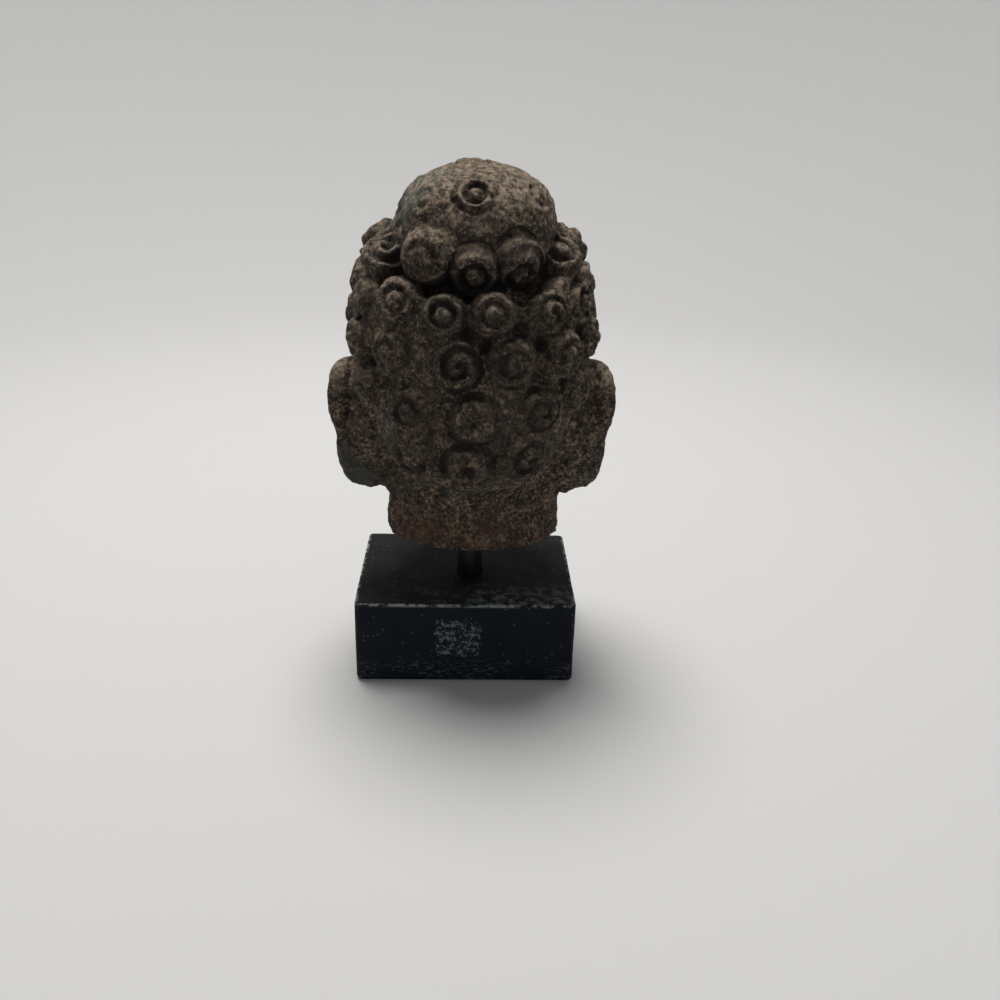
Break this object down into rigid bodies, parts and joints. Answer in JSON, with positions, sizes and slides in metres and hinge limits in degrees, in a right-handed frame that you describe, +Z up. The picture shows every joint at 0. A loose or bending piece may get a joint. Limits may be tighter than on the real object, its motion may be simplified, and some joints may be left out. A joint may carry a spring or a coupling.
{
  "type": "stone buddha head on stand",
  "caption": "Carved stone Buddha head with snail-shell curls, held above a black wooden block by a short rod.",
  "frame": {"origin": "middle of the block's underside, which stands on the table", "axes": "+Z up; the face looks towards -Y and the back of the head is on the +Y side; X across the shoulders"},
  "size_m": [0.1278, 0.1156, 0.229],
  "materials": {
    "stone": "coarse weathered grain, brown and grey with dark hollows",
    "rod_lacquer": "black lacquer, satin",
    "block_paint": "black paint, satin, dusty and scuffed"
  },
  "bodies": {
    "root": {"head": "stone", "rod": "rod_lacquer", "block": "block_paint"}
  },
  "joints": []
}
